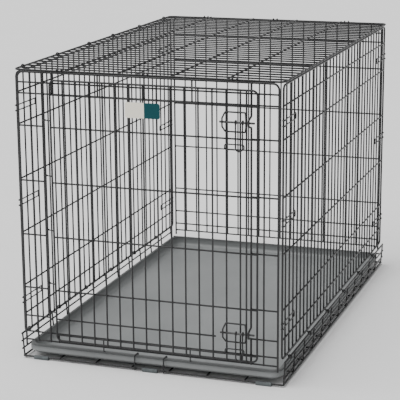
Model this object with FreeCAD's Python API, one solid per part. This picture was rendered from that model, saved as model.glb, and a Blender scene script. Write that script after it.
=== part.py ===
import FreeCAD, Part
import math
import os

# Folding wire dog crate, 48-inch class. Millimetres.
# X runs across the width, Y from the door end (-Y) to the far end (+Y), Z up.
# The exported origin is on the floor, in the middle of the footprint.

os.makedirs("parts", exist_ok=True)
Vec = FreeCAD.Vector

# Overall size
WIDTH = 762.0
LENGTH = 1219.0
HEIGHT = 826.0

# Wire sizes, as radii
FRAME_R = 2.75
BAR_R = 2.3
HOOK_R = 1.7
RING_GAP = 0.35
RING_R = FRAME_R + RING_GAP + HOOK_R
WELD_STEP = 2.5
WELD_SINK = 0.7

# Grille spacing
BAR_PITCH = 38.1
LEVEL_PITCH = 152.4
FIRST_LEVEL = 212.4
MAIN_LEVELS = [FIRST_LEVEL + LEVEL_PITCH * k for k in range(4)]
LOW_LEVEL = 130.0
HIGH_LEVEL = 758.0

# Top panel
TOP_Z = 820.0
TOP_X = WIDTH / 2 - FRAME_R
TOP_Y = LENGTH / 2 - FRAME_R
TOP_BEND = 18.0
TOP_BAYS = 32
TOP_BUMP = 3.0

# Long side panels
SIDE_X = 374.0
SIDE_Y = 603.0
SIDE_TOP = 811.0
SIDE_BOTTOM = 77.0
SIDE_BAYS = 32
SIDE_BEND = 12.0
CORNER_HOOK_LEVELS = (170.0, 450.0, 714.0)
CORNER_HOOK_HALF = 7.5
CORNER_HOOK_BAYS = 3

# Base basket
FOOT_R = 6.0
FOOT_CENTRE_Z = 4.8
FOOT_LENGTH = 44.0
FOOT_X = (-325.0, 0.0, 325.0)
FLOOR_Z = 6.5
FLOOR_X = 379.0
FLOOR_Y = 607.0
FLOOR_LONG_BAYS = 7
FLOOR_CROSS_BAYS = 12
RIM_X = 383.5
RIM_Z = 71.0
RAIL_LEVELS = (27.0, 49.0)
REAR_LIP_Z = 36.0

# End panels
END_X = 365.4
END_Y = 613.3
END_TOP = 816.0
END_FOOT = 44.0
END_BEND = 16.0
SILL_LEVELS = (60.0, 84.0)
HEADER_LEVELS = (HIGH_LEVEL, 788.0)
END_BAR_Y = END_Y + WELD_STEP
END_HOOK_X = (-245.0, 0.0, 245.0)
HOLD_DOWN_X = (-131.0, 121.0)
SILL_POST_X = (-265.0, 265.0)
HANGER_HALF = 6.5
REAR_BAYS = 19

# Door opening and door
HINGE_X = -289.8
STRIKE_X = 292.5
JOIN_X = 286.0
HEADER_POST_X = (-265.0, -132.0, 0.0, 132.0)
DOOR_LEFT = -268.0
DOOR_RIGHT = 311.0
DOOR_TOP = 797.0
DOOR_BOTTOM = 68.0
DOOR_BEND = 14.0
DOOR_Y = 621.5
DOOR_BAR_Y = DOOR_Y + WELD_STEP
DOOR_BARS = 14
LATCH_BAR_X = 282.0
LOOP_LIFT = 18.0

# Bolt latches
LATCH_LEVELS = {"upper": 715.0, "lower": 147.0}
KEEPER_DROP = {"upper": 66.0, "lower": 53.0}
BOLT_Y = 633.6
BOLT_X = (212.0, 307.0)
GUIDE_X = (221.0, 285.0)
GUIDE_HALF = 25.5
GUIDE_BOW_HALF = 11.0
GUIDE_TAPER = 5.0
GUIDE_R = 2.2
GUIDE_Y = DOOR_BAR_Y + BAR_R + GUIDE_R - 0.1
GUIDE_OUT_Y = BOLT_Y + FRAME_R + GUIDE_R + 0.7
KEEPER_Y = DOOR_BAR_Y + BAR_R + HOOK_R - 0.1
KEEPER_X = (224.0, 276.5)
KEEPER_HALF = 7.0
HANDLE_X = (256.0, 275.0)
HANDLE_Y = 636.0
HANDLE_DROP = 75.0
HANDLE_R = 1.9
STRIKE_OUT_Y = BOLT_Y + 2 * FRAME_R + 1.0

# The cage is drawn about its own middle; the strike wire stands proud of the door end,
# so the export moves everything to put the origin under the middle of the whole.
ORIGIN_SHIFT = (STRIKE_OUT_Y + FRAME_R - END_BAR_Y - BAR_R) / 2

# Label plate
LABEL_X = (-50.0, 47.0)
LABEL_Z = (710.0, 751.0)
LABEL_THICK = 1.2

# Floor pan
PAN_X = 371.0
PAN_FRONT = -604.0
PAN_REAR = 600.0
PAN_BOTTOM = 12.0
PAN_TOP = 42.0
PAN_LEDGE_Z = 37.0
PAN_SKIRT_Z = 24.0
PAN_WALL = 2.5
PAN_LIP = 9.0
PAN_STEP = 4.0
PAN_CORNER = 26.0
PAN_FOOT_R = 13.0
CLIP_X = 42.0
CLIP_R = 1.8
CLIP_FRONT_Y = -612.1
CLIP_BAR_Y = -586.0
CLIP_BAR_Z = 33.0


def save(name, shape):
    """Moves one node into the exported frame, writes it, and stops on an unsound shape."""
    shape = shape.copy()
    shape.translate(Vec(0, ORIGIN_SHIFT, 0))
    if not shape.isValid() or shape.Volume <= 0:
        raise RuntimeError("unsound shape: " + name)
    shape.exportStep("parts/" + name + ".step")
    print(name, len(shape.Solids), round(shape.Volume))


def rod(start, end, radius):
    """A straight wire between two points."""
    start = Vec(*start)
    along = Vec(*end) - start
    return Part.makeCylinder(radius, along.Length, start, along)


def ring(centre, axis, major, minor):
    """A closed eye of wire around an axis."""
    return Part.makeTorus(major, minor, Vec(*centre), Vec(*axis))


def bent_wire(points, radius, bend, closed=False):
    """A wire that follows the points, with every corner an arc of radius bend."""
    corners = [Vec(*p) for p in points]
    count = len(corners)
    stops = []
    for i, corner in enumerate(corners):
        if not closed and i in (0, count - 1):
            stops.append((corner, None, corner))
            continue
        back = corners[i - 1] - corner
        ahead = corners[(i + 1) % count] - corner
        half = back.getAngle(ahead) / 2
        back.normalize()
        ahead.normalize()
        inward = back + ahead
        inward.normalize()
        reach = bend / math.tan(half)
        middle = corner + inward * (bend / math.sin(half) - bend)
        stops.append((corner + back * reach, middle, corner + ahead * reach))
    edges = []
    pairs = range(count) if closed else range(count - 1)
    for i in pairs:
        arrive, middle, leave = stops[i]
        if middle is not None:
            edges.append(Part.Arc(arrive, middle, leave).toShape())
        following = stops[(i + 1) % count][0]
        if (following - leave).Length > 1e-6:
            edges.append(Part.LineSegment(leave, following).toShape())
    path = Part.Wire(edges)
    first = edges[0]
    tangent = first.tangentAt(first.FirstParameter)
    start = first.valueAt(first.FirstParameter)
    section = Part.Wire(Part.makeCircle(radius, start, tangent))
    swept = path.makePipeShell([section], True, True)
    return Part.Solid(swept) if swept.ShapeType == "Shell" else swept


def weld(pieces):
    """Fuses crossing wires into one welded solid."""
    fused = pieces[0].multiFuse(pieces[1:])
    if len(fused.Solids) != 1:
        raise RuntimeError("a weld left %d solids" % len(fused.Solids))
    return fused.Solids[0]


def loose(pieces):
    """Keeps separate solids together in one node."""
    return Part.makeCompound(pieces)


def spread(low, high, bays):
    """The places of the wires strictly between two ends."""
    return [low + (high - low) * k / bays for k in range(1, bays)]


def flip_x(shape):
    """The mirror image across the middle of the width."""
    return shape.mirror(Vec(0, 0, 0), Vec(1, 0, 0))


def flip_y(shape):
    """The mirror image across the middle of the length."""
    return shape.mirror(Vec(0, 0, 0), Vec(0, 1, 0))


def eye_with_leg(centre, target, axis, reach):
    """An eye around a hinge wire, with a leg towards the wire it is welded to."""
    centre = Vec(*centre)
    outward = Vec(*target) - centre
    outward.normalize()
    start = centre + outward * RING_R
    end = centre + outward * reach
    eye = Part.makeTorus(RING_R, HOOK_R, centre, Vec(*axis))
    leg = Part.makeCylinder(HOOK_R, (end - start).Length, start, outward)
    return weld([eye, leg])


# ---------------------------------------------------------------- base basket
def base_floor():
    """The floor grid: a front and rear wire, 8 long wires and the cross wires above them."""
    long_x = [-FLOOR_X] + spread(-FLOOR_X, FLOOR_X, FLOOR_LONG_BAYS) + [FLOOR_X]
    pieces = []
    for y in (-FLOOR_Y, FLOOR_Y):
        pieces.append(rod((-FLOOR_X, y, FLOOR_Z), (FLOOR_X, y, FLOOR_Z), FRAME_R))
    for x in long_x:
        radius = FRAME_R if abs(x) == FLOOR_X else BAR_R
        pieces.append(rod((x, -FLOOR_Y, FLOOR_Z), (x, FLOOR_Y, FLOOR_Z), radius))
    for x in (-FLOOR_X, FLOOR_X):
        for y in (-FLOOR_Y, FLOOR_Y):
            pieces.append(Part.makeSphere(FRAME_R, Vec(x, y, FLOOR_Z)))
    for y in spread(-FLOOR_Y, FLOOR_Y, FLOOR_CROSS_BAYS):
        z = FLOOR_Z + WELD_STEP
        pieces.append(rod((-FLOOR_X, y, z), (FLOOR_X, y, z), BAR_R))
    return weld(pieces)


def upright_places():
    """Where the basket's upright wires stand along the length."""
    return [-FLOOR_Y + 4] + spread(-FLOOR_Y, FLOOR_Y, FLOOR_CROSS_BAYS) + [FLOOR_Y - 4]


def base_side_right():
    """The turned-up side of the basket, flared outward, without its rim."""
    pieces = []
    for y in upright_places():
        pieces.append(rod((FLOOR_X, y, FLOOR_Z), (RIM_X, y, RIM_Z), BAR_R))
    for z in RAIL_LEVELS:
        share = (z - FLOOR_Z) / (RIM_Z - FLOOR_Z)
        x = FLOOR_X + (RIM_X - FLOOR_X) * share + WELD_STEP
        pieces.append(rod((x, -FLOOR_Y, z), (x, FLOOR_Y, z), BAR_R))
    side = weld(pieces)
    side = side.cut(rod((FLOOR_X, -LENGTH, FLOOR_Z), (FLOOR_X, LENGTH, FLOOR_Z), FRAME_R))
    side = side.cut(base_rim_right(LENGTH))
    floor_bars = []
    for y in spread(-FLOOR_Y, FLOOR_Y, FLOOR_CROSS_BAYS):
        z = FLOOR_Z + WELD_STEP
        floor_bars.append(rod((FLOOR_X - 20, y, z), (FLOOR_X, y, z), BAR_R))
    for bar in floor_bars:
        side = side.cut(bar)
    return side


def base_rim_right(half_length=FLOOR_Y):
    """The rim wire, which is also the hinge wire of the long side panel."""
    return rod((RIM_X, -half_length, RIM_Z), (RIM_X, half_length, RIM_Z), FRAME_R)


def base_rear_lip():
    """The low lip that stops the pan at the far end."""
    pieces = [rod((-FLOOR_X + 6, FLOOR_Y, REAR_LIP_Z), (FLOOR_X - 6, FLOOR_Y, REAR_LIP_Z), BAR_R)]
    for x in spread(-FLOOR_X, FLOOR_X, FLOOR_LONG_BAYS):
        pieces.append(rod((x, FLOOR_Y, FLOOR_Z), (x, FLOOR_Y, REAR_LIP_Z), BAR_R))
    lip = weld(pieces)
    return lip.cut(rod((-FLOOR_X, FLOOR_Y, FLOOR_Z), (FLOOR_X, FLOOR_Y, FLOOR_Z), FRAME_R))


def feet(y):
    """Rubber sleeves that grip the end wire, flat underneath where they carry the crate."""
    sleeves = []
    below = Part.makeBox(2 * WIDTH, 60, 30, Vec(-WIDTH, y - 30, -30))
    for x in FOOT_X:
        left = x - FOOT_LENGTH / 2
        right = x + FOOT_LENGTH / 2
        sleeve = rod((left, y, FOOT_CENTRE_Z), (right, y, FOOT_CENTRE_Z), FOOT_R)
        rims = [e for e in sleeve.Edges if e.Curve.TypeId == "Part::GeomCircle"]
        sleeve = sleeve.makeFillet(1.2, rims).cut(below)
        sleeves.append(sleeve.cut(rod((left, y, FLOOR_Z), (right, y, FLOOR_Z), FRAME_R)))
    return loose(sleeves)


# ---------------------------------------------------------------- side panels
def side_grille():
    """The long side panel: bent frame wire, level wires and 31 upright bars on the inside."""
    frame = bent_wire(
        [
            (SIDE_X, -SIDE_Y, SIDE_BOTTOM),
            (SIDE_X, -SIDE_Y, SIDE_TOP),
            (SIDE_X, SIDE_Y, SIDE_TOP),
            (SIDE_X, SIDE_Y, SIDE_BOTTOM),
        ],
        FRAME_R,
        SIDE_BEND,
        closed=True,
    )
    pieces = [frame]
    for z in [LOW_LEVEL] + MAIN_LEVELS + [HIGH_LEVEL]:
        pieces.append(rod((SIDE_X, -SIDE_Y, z), (SIDE_X, SIDE_Y, z), BAR_R))
    x = SIDE_X - WELD_STEP
    for y in spread(-SIDE_Y, SIDE_Y, SIDE_BAYS):
        pieces.append(rod((x, y, SIDE_BOTTOM - 1), (x, y, SIDE_TOP + 1), BAR_R))
    return weld(pieces)


def side_hinge_eyes():
    """Eyes that let the side panel turn on the basket rim."""
    bottom = rod((SIDE_X, -SIDE_Y, SIDE_BOTTOM), (SIDE_X, SIDE_Y, SIDE_BOTTOM), FRAME_R)
    places = [-FLOOR_Y] + spread(-FLOOR_Y, FLOOR_Y, FLOOR_CROSS_BAYS) + [FLOOR_Y]
    eyes = []
    for first, second in zip(places[0::2], places[1::2]):
        y = (first + second) / 2
        eye = eye_with_leg((RIM_X, y, RIM_Z), (SIDE_X, y, SIDE_BOTTOM), (0, 1, 0), 9.5)
        eyes.append(eye.cut(bottom))
    return loose(eyes)


def corner_hooks():
    """Twin-wire hooks at both ends of a side panel, which close the corners."""
    x = SIDE_X + FRAME_R + HOOK_R
    bay = 2 * SIDE_Y / SIDE_BAYS
    anchors = [rod((SIDE_X, -SIDE_Y, SIDE_BOTTOM), (SIDE_X, -SIDE_Y, SIDE_TOP), FRAME_R)]
    for k in range(1, CORNER_HOOK_BAYS + 1):
        y = -SIDE_Y + bay * k
        bar_x = SIDE_X - WELD_STEP
        anchors.append(rod((bar_x, y, SIDE_BOTTOM), (bar_x, y, SIDE_TOP), BAR_R))
    tail = -SIDE_Y + bay * CORNER_HOOK_BAYS + HOOK_R
    front = -SIDE_Y - 4.6
    inner_x = SIDE_X + HOOK_R - 0.5
    hooks = []
    for z in CORNER_HOOK_LEVELS:
        high = z + CORNER_HOOK_HALF
        low = z - CORNER_HOOK_HALF
        hook = bent_wire(
            [
                (SIDE_X - 2.0, front, high),
                (x, front, high),
                (x, -SIDE_Y + 8, high),
                (inner_x, -SIDE_Y + 16, high),
                (inner_x, tail, high),
                (inner_x, tail, low),
                (inner_x, -SIDE_Y + 16, low),
                (x, -SIDE_Y + 8, low),
                (x, front, low),
                (SIDE_X - 2.0, front, low),
            ],
            HOOK_R,
            3.2,
        )
        for anchor in anchors:
            hook = hook.cut(anchor)
        hooks.append(hook)
        hooks.append(flip_y(hook))
    return loose(hooks)


def side_top_eyes():
    """Eyes on the left panel's top wire that carry the hinge edge of the top panel."""
    top = rod((SIDE_X, -SIDE_Y, SIDE_TOP), (SIDE_X, SIDE_Y, SIDE_TOP), FRAME_R)
    pitch = 2 * TOP_Y / TOP_BAYS
    eyes = []
    for k in (-14.5, -8.5, -2.5, 2.5, 8.5, 14.5):
        y = k * pitch
        eye = eye_with_leg((TOP_X, y, TOP_Z), (SIDE_X, y, SIDE_TOP), (0, 1, 0), 8.6)
        eyes.append(eye.cut(top))
    return loose(eyes)


# ------------------------------------------------------------------ top panel
def top_grille():
    """The roof: bent frame wire, close cross wires level with it and 4 long wires above."""
    frame = bent_wire(
        [
            (-TOP_X, -TOP_Y, TOP_Z),
            (TOP_X, -TOP_Y, TOP_Z),
            (TOP_X, TOP_Y, TOP_Z),
            (-TOP_X, TOP_Y, TOP_Z),
        ],
        FRAME_R,
        TOP_BEND,
        closed=True,
    )
    pieces = [frame]
    reach = TOP_X + TOP_BUMP
    for y in spread(-TOP_Y, TOP_Y, TOP_BAYS):
        pieces.append(rod((-reach, y, TOP_Z), (reach, y, TOP_Z), BAR_R))
    for x in spread(-TOP_X, TOP_X, 5):
        z = TOP_Z + WELD_STEP
        pieces.append(rod((x, -TOP_Y, z), (x, TOP_Y, z), BAR_R))
    return weld(pieces)


# ----------------------------------------------------------------- end panels
def end_frame():
    """The bent outer wire of an end panel, open at its feet."""
    return bent_wire(
        [
            (-END_X, -END_Y, END_FOOT),
            (-END_X, -END_Y, END_TOP),
            (END_X, -END_Y, END_TOP),
            (END_X, -END_Y, END_FOOT),
        ],
        FRAME_R,
        END_BEND,
    )


def slab(x_low, x_high):
    """A block that keeps only the stretch between two upright planes."""
    return Part.makeBox(x_high - x_low, 60, HEIGHT, Vec(x_low, -END_Y - 30, 0))


def front_strip(sign, inner_x, inner_wire):
    """The narrow grille between the door opening and the corner."""
    outer = end_frame()
    keep = slab(-END_X - 10, -JOIN_X) if sign < 0 else slab(JOIN_X, END_X + 10)
    pieces = [outer.common(keep)]
    for z in list(SILL_LEVELS) + [LOW_LEVEL] + MAIN_LEVELS + list(HEADER_LEVELS):
        through = z in SILL_LEVELS or z in HEADER_LEVELS
        stop = sign * JOIN_X if through else inner_x - sign * WELD_SINK * 2
        pieces.append(rod((sign * END_X, -END_Y, z), (stop, -END_Y, z), BAR_R))
    x = sign * (END_X - BAR_PITCH)
    pieces.append(rod((x, -END_BAR_Y, SILL_LEVELS[0] - 1), (x, -END_BAR_Y, END_TOP + 1), BAR_R))
    return weld(pieces).cut(inner_wire)


def front_header():
    """The wires over the door opening, with short posts."""
    pieces = [end_frame().common(slab(-JOIN_X, JOIN_X))]
    for z in HEADER_LEVELS:
        pieces.append(rod((-JOIN_X, -END_Y, z), (JOIN_X, -END_Y, z), BAR_R))
    for x in HEADER_POST_X:
        pieces.append(rod((x, -END_BAR_Y, HIGH_LEVEL - 1), (x, -END_BAR_Y, END_TOP + 1), BAR_R))
    return weld(pieces)


def front_sill():
    """The two wires under the door opening, tied by two short posts."""
    pieces = []
    for z in SILL_LEVELS:
        pieces.append(rod((-JOIN_X, -END_Y, z), (JOIN_X, -END_Y, z), BAR_R))
    for x in SILL_POST_X:
        low = (x, -END_BAR_Y, SILL_LEVELS[0] - 1)
        high = (x, -END_BAR_Y, SILL_LEVELS[1] + 1)
        pieces.append(rod(low, high, BAR_R))
    return weld(pieces)


def hold_downs():
    """Bent wires under the door opening that keep the pan's rim down."""
    y = -END_Y - BAR_R - HOOK_R + 0.8
    top = SILL_LEVELS[1] + 3
    hooks = []
    for x in HOLD_DOWN_X:
        hook = bent_wire([(x, y, top), (x, y, 47.0), (x, -605.5, 46.0)], HOOK_R, 4.0)
        for z in SILL_LEVELS:
            hook = hook.cut(rod((-JOIN_X, -END_Y, z), (JOIN_X, -END_Y, z), BAR_R))
        hooks.append(hook)
    return loose(hooks)


def hinge_wire():
    """The upright wire that the door turns on."""
    y = -END_BAR_Y
    return rod((HINGE_X, y, SILL_LEVELS[0] - 1), (HINGE_X, y, END_TOP + 1), FRAME_R)


def strike_wire():
    """The upright wire that the bolts lock behind, bowed outward at both latches."""
    y = -END_BAR_Y
    out = -STRIKE_OUT_Y
    points = [(STRIKE_X, y, SILL_LEVELS[0] - 1)]
    for z in sorted(LATCH_LEVELS.values()):
        points += [
            (STRIKE_X, y, z - 15),
            (STRIKE_X, out, z - 8),
            (STRIKE_X, out, z + 8),
            (STRIKE_X, y, z + 15),
        ]
    points.append((STRIKE_X, y, END_TOP + 1))
    return bent_wire(points, FRAME_R, 3.2)


def end_hinge_eyes(top_wire):
    """Eyes that hang an end panel from the end wire of the top panel."""
    eyes = []
    for x in END_HOOK_X:
        for side in (-HANGER_HALF, HANGER_HALF):
            eye = ring((x + side, -TOP_Y, TOP_Z), (1, 0, 0), RING_R, HOOK_R)
            eyes.append(eye.cut(top_wire))
    return loose(eyes)


def end_top_wire():
    """The straight top stretch of an end panel's outer wire."""
    return rod((-END_X, -END_Y, END_TOP), (END_X, -END_Y, END_TOP), FRAME_R)


def rear_grille():
    """The far end panel, a plain grille without a door."""
    pieces = [end_frame()]
    for z in list(SILL_LEVELS) + [LOW_LEVEL] + MAIN_LEVELS + list(HEADER_LEVELS):
        pieces.append(rod((-END_X, -END_Y, z), (END_X, -END_Y, z), BAR_R))
    for x in spread(-END_X, END_X, REAR_BAYS):
        pieces.append(rod((x, -END_BAR_Y, SILL_LEVELS[0] - 1), (x, -END_BAR_Y, END_TOP + 1), BAR_R))
    return flip_y(weld(pieces))


# ----------------------------------------------------------------------- door
def door_frame_wire():
    """The bent outer wire of the door."""
    return bent_wire(
        [
            (DOOR_LEFT, -DOOR_Y, DOOR_BOTTOM),
            (DOOR_LEFT, -DOOR_Y, DOOR_TOP),
            (DOOR_RIGHT, -DOOR_Y, DOOR_TOP),
            (DOOR_RIGHT, -DOOR_Y, DOOR_BOTTOM),
        ],
        FRAME_R,
        DOOR_BEND,
        closed=True,
    )


def door_grille():
    """The door: frame wire, level wires and upright bars welded on the outside."""
    pieces = [door_frame_wire()]
    cut_short = DOOR_LEFT + BAR_PITCH * 12 + 6
    for z in [SILL_LEVELS[1], LOW_LEVEL] + MAIN_LEVELS + [HIGH_LEVEL]:
        stop = cut_short if z == LOW_LEVEL else DOOR_RIGHT + WELD_SINK
        pieces.append(rod((DOOR_LEFT - WELD_SINK, -DOOR_Y, z), (stop, -DOOR_Y, z), BAR_R))
    bars = [DOOR_LEFT + BAR_PITCH * k for k in range(1, DOOR_BARS + 1)] + [LATCH_BAR_X]
    for x in bars:
        low = (x, -DOOR_BAR_Y, DOOR_BOTTOM - 1)
        high = (x, -DOOR_BAR_Y, DOOR_TOP + 1)
        pieces.append(rod(low, high, BAR_R))
    return weld(pieces)


def door_hinge_loops():
    """Loops of the door that turn on the hinge wire."""
    frame = rod((DOOR_LEFT, -DOOR_Y, DOOR_BOTTOM), (DOOR_LEFT, -DOOR_Y, DOOR_TOP), FRAME_R)
    loops = []
    for z in [LOW_LEVEL] + MAIN_LEVELS:
        level = z + LOOP_LIFT
        centre = (HINGE_X, -END_BAR_Y, level)
        target = (DOOR_LEFT, -DOOR_Y, level)
        loops.append(eye_with_leg(centre, target, (0, 0, 1), 21.5).cut(frame))
    return loose(loops)


def latch_guide(z):
    """The six-sided wire loop that guides a bolt in front of the door bars."""
    left, right = GUIDE_X
    flat = -GUIDE_Y
    out = -GUIDE_OUT_Y
    return bent_wire(
        [
            (left + GUIDE_TAPER, flat, z + GUIDE_HALF),
            (right - GUIDE_TAPER, flat, z + GUIDE_HALF),
            (right, out, z + GUIDE_BOW_HALF),
            (right, out, z - GUIDE_BOW_HALF),
            (right - GUIDE_TAPER, flat, z - GUIDE_HALF),
            (left + GUIDE_TAPER, flat, z - GUIDE_HALF),
            (left, out, z - GUIDE_BOW_HALF),
            (left, out, z + GUIDE_BOW_HALF),
        ],
        GUIDE_R,
        4.0,
        closed=True,
    )


def latch_keeper(z):
    """The flat wire loop behind the end of the hanging handle."""
    left, right = KEEPER_X
    return bent_wire(
        [
            (left, -KEEPER_Y, z - KEEPER_HALF),
            (left, -KEEPER_Y, z + KEEPER_HALF),
            (right, -KEEPER_Y, z + KEEPER_HALF),
            (right, -KEEPER_Y, z - KEEPER_HALF),
        ],
        HOOK_R,
        5.0,
        closed=True,
    )


def latch_bolt(z):
    """The sliding rod of a latch, with rounded ends."""
    bolt = rod((BOLT_X[0], -BOLT_Y, z), (BOLT_X[1], -BOLT_Y, z), FRAME_R)
    ends = [e for e in bolt.Edges if e.Curve.TypeId == "Part::GeomCircle"]
    return bolt.makeFillet(0.8, ends)


def latch_handle(z):
    """The bent handle that hangs from the bolt by two eyes."""
    left, right = HANDLE_X
    major = FRAME_R + RING_GAP + HANDLE_R
    start = z - math.sqrt(major**2 - (HANDLE_Y - BOLT_Y) ** 2)
    loop = bent_wire(
        [
            (left, -HANDLE_Y, start),
            (left, -HANDLE_Y, z - HANDLE_DROP),
            (right, -HANDLE_Y, z - HANDLE_DROP),
            (right, -HANDLE_Y, start),
        ],
        HANDLE_R,
        9.0,
    )
    eyes = [ring((x, -BOLT_Y, z), (1, 0, 0), major, HANDLE_R) for x in HANDLE_X]
    return weld([loop] + eyes)


def label_plate():
    """A small plastic name plate held on the door bars."""
    thick = LABEL_THICK
    y = -DOOR_BAR_Y - BAR_R - thick
    plate = Part.makeBox(
        LABEL_X[1] - LABEL_X[0], thick, LABEL_Z[1] - LABEL_Z[0], Vec(LABEL_X[0], y, LABEL_Z[0])
    )
    upright = [e for e in plate.Edges if abs(e.BoundBox.YLength - thick) < 1e-6]
    return plate.makeFillet(6.0, upright)


# ------------------------------------------------------------------------ pan
def rounded_block(half_x, front, rear, low, high, corner):
    """A box with rounded upright corners."""
    block = Part.makeBox(2 * half_x, rear - front, high - low, Vec(-half_x, front, low))
    upright = [e for e in block.Edges if abs(e.BoundBox.ZLength - (high - low)) < 1e-6]
    return block.makeFillet(corner, upright)


def pan_level(inset, low, high):
    """A slice of the pan's outline, drawn in by an inset, between two heights."""
    corner = PAN_CORNER + PAN_LIP - inset
    return rounded_block(PAN_X - inset, PAN_FRONT + inset, PAN_REAR - inset, low, high, corner)


def pan():
    """The moulded floor tray: stepped rim with a hanging skirt, round foot and two clip lugs."""
    body = pan_level(PAN_LIP, PAN_BOTTOM, PAN_TOP)
    foot = [e for e in body.Edges if e.BoundBox.ZMax < PAN_BOTTOM + 1e-6]
    body = body.makeFillet(PAN_FOOT_R, foot)
    rim = pan_level(0, PAN_SKIRT_Z, PAN_LEDGE_Z).fuse(pan_level(PAN_STEP, PAN_LEDGE_Z - 1, PAN_TOP))
    rim = rim.cut(pan_level(PAN_WALL, PAN_SKIRT_Z - 1, PAN_LEDGE_Z - PAN_WALL))
    rim = rim.cut(pan_level(PAN_STEP + PAN_WALL, PAN_SKIRT_Z - 1, PAN_TOP - PAN_WALL))
    inner = PAN_LIP + PAN_WALL
    hollow = pan_level(inner, PAN_BOTTOM + PAN_WALL, PAN_TOP + 1)
    floor_edge = [e for e in hollow.Edges if e.BoundBox.ZMax < PAN_BOTTOM + PAN_WALL + 1e-6]
    tray = body.fuse(rim).cut(hollow.makeFillet(PAN_FOOT_R - PAN_WALL, floor_edge))
    wall_y = PAN_FRONT + inner
    lugs = []
    for x in (-CLIP_X + 10, CLIP_X - 16):
        deep = CLIP_BAR_Y + 4 - wall_y
        lug = Part.makeBox(6, deep + 1, 8.5, Vec(x, wall_y - 1, CLIP_BAR_Z - 4.2))
        lugs.append(lug)
    tray = tray.multiFuse(lugs)
    bar = rod((-CLIP_X, CLIP_BAR_Y, CLIP_BAR_Z), (CLIP_X, CLIP_BAR_Y, CLIP_BAR_Z), CLIP_R + 0.3)
    return tray.cut(bar).Solids[0]


def pan_clip():
    """The bent wire over the pan's front lip that drops in front of the floor wire."""
    over = PAN_TOP + CLIP_R + 0.8
    left = [
        (-CLIP_X, CLIP_FRONT_Y, 3.0),
        (-CLIP_X, CLIP_FRONT_Y, over),
        (-CLIP_X, CLIP_BAR_Y, over),
        (-CLIP_X, CLIP_BAR_Y, CLIP_BAR_Z),
    ]
    right = [(-x, y, z) for x, y, z in reversed(left)]
    return bent_wire(left + right, CLIP_R, 3.0)


# --------------------------------------------------------------------- export
hinge = hinge_wire()
strike = strike_wire()
top_wire = end_top_wire()

save("base_floor_grid", base_floor())
side_wall = base_side_right()
save("base_wall_right", side_wall)
save("base_wall_left", flip_x(side_wall))
save("base_rim_right", base_rim_right())
save("base_rim_left", flip_x(base_rim_right()))
save("base_rear_lip", base_rear_lip())
save("feet_front", feet(-FLOOR_Y))
save("feet_rear", feet(FLOOR_Y))

grille = side_grille()
save("side_right_grille", grille)
save("side_left_grille", flip_x(grille))
base_eyes = side_hinge_eyes()
save("side_right_hinge_eyes", base_eyes)
save("side_left_hinge_eyes", flip_x(base_eyes))
hooks = corner_hooks()
save("side_right_corner_hooks", hooks)
save("side_left_corner_hooks", flip_x(hooks))
save("side_left_top_eyes", flip_x(side_top_eyes()))

save("top_grille", top_grille())

save("front_strip_left", front_strip(-1, HINGE_X, hinge))
save("front_strip_right", front_strip(1, STRIKE_X, strike))
save("front_header", front_header())
save("front_sill", front_sill())
save("front_hold_downs", hold_downs())
save("front_hinge_wire", hinge)
save("front_strike_wire", strike)
end_eyes = end_hinge_eyes(top_wire)
save("front_hanger_eyes", end_eyes)
save("rear_hanger_eyes", flip_y(end_eyes))
save("rear_grille", rear_grille())

save("door_grille", door_grille())
save("door_hinge_loops", door_hinge_loops())
save("door_label_plate", label_plate())
for place, level in LATCH_LEVELS.items():
    save("latch_guide_" + place, latch_guide(level))
    save("latch_keeper_" + place, latch_keeper(level - KEEPER_DROP[place]))
    save("latch_bolt_" + place, latch_bolt(level))
    save("latch_handle_" + place, latch_handle(level))

save("pan", pan())
save("pan_clip", pan_clip())
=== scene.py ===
import math
import bpy
from mathutils import Matrix, Vector


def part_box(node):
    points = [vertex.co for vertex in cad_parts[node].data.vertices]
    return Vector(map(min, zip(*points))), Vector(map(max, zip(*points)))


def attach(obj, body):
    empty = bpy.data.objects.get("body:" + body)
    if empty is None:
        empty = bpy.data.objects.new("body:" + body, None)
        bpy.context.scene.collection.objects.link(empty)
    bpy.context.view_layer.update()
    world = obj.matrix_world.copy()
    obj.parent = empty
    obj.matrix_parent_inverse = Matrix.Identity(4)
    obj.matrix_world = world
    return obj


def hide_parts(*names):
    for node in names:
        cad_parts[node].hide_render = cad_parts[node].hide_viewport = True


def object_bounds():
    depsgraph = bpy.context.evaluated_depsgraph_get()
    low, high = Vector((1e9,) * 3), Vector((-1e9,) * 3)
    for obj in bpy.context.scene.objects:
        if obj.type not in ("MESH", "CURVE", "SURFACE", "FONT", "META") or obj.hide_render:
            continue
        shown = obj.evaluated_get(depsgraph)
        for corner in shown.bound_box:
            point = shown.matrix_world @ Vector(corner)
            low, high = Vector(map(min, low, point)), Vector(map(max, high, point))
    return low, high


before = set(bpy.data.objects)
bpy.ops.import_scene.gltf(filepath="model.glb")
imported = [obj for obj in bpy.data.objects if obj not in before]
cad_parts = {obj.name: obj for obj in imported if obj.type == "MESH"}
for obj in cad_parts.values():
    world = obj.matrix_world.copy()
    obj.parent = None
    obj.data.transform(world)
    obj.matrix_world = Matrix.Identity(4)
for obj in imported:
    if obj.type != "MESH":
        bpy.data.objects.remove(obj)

CAD_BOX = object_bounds()

# Millimetres, in the cage's own frame: its middle is moved along Y as in the CAD model.
MM = 0.001

# Wire radii
FRAME_R = 2.75
BAR_R = 2.3
HOOK_R = 1.7
GUIDE_R = 2.2
HANDLE_R = 1.9
RING_GAP = 0.35
EYE_R = FRAME_R + RING_GAP + HOOK_R

# The bolts, and the strike wire that bows round them, set the crate's foremost point.
BOLT_Y = 633.6
STRIKE_ROOM = 1.0
STRIKE_OUT_Y = BOLT_Y + 2 * FRAME_R + STRIKE_ROOM
SHIFT_Y = (CAD_BOX[0] / MM).y + STRIKE_OUT_Y + FRAME_R

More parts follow.
